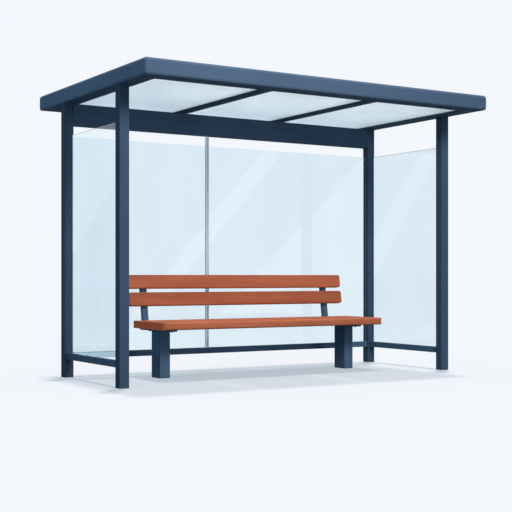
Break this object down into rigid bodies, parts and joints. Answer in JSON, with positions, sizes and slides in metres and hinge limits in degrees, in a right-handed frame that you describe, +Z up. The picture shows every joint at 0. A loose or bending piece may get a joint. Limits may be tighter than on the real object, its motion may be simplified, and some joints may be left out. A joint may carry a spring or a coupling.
{
  "type": "bus shelter",
  "caption": "Open-fronted bus shelter: square posts, flat roof ring with opal panels, glass back and end walls, and a timber bench on box pedestals.",
  "frame": {"origin": "on the ground below the middle of the roof", "axes": "+X along the shelter to the right seen from the open front, +Y from the open front to the back wall, +Z up"},
  "size_m": [3.25, 2.06, 2.385],
  "materials": {
    "frame_paint": "satin powder coat, dark navy",
    "bench_paint": "satin powder coat, dark navy",
    "wall_glass": "clear toughened glass, faint blue tint",
    "roof_panel": "opal translucent sheet",
    "glazing_bar": "satin anodised, blue grey",
    "gasket": "grey glazing rubber",
    "timber": "oiled red-brown hardwood"
  },
  "bodies": {
    "root": {"post_front_left": "frame_paint", "post_front_right": "frame_paint", "post_back_left": "frame_paint", "post_back_right": "frame_paint", "header_back": "frame_paint", "rail_left": "frame_paint", "rail_right": "frame_paint", "rail_back": "frame_paint", "fascia_front": "frame_paint", "fascia_back": "frame_paint", "fascia_left": "frame_paint", "fascia_right": "frame_paint", "rafter_left": "frame_paint", "rafter_right": "frame_paint", "roof_bead_left": "frame_paint", "roof_bead_middle": "frame_paint", "roof_bead_right": "frame_paint", "roof_panel_left": "roof_panel", "roof_panel_middle": "roof_panel", "roof_panel_right": "roof_panel", "glass_left_end": "wall_glass", "glass_right_end": "wall_glass", "glass_back_left": "wall_glass", "glass_back_right": "wall_glass", "gasket_left_end": "gasket", "gasket_right_end": "gasket", "gasket_back_left": "gasket", "gasket_back_right": "gasket", "glazing_bar": "glazing_bar", "bench_pedestal_left": "bench_paint", "bench_pedestal_right": "bench_paint", "bench_arm_left": "bench_paint", "bench_arm_right": "bench_paint", "bench_support_left": "bench_paint", "bench_support_right": "bench_paint", "bench_seat": "timber", "bench_slat_lower": "timber", "bench_slat_upper": "timber"}
  },
  "joints": []
}
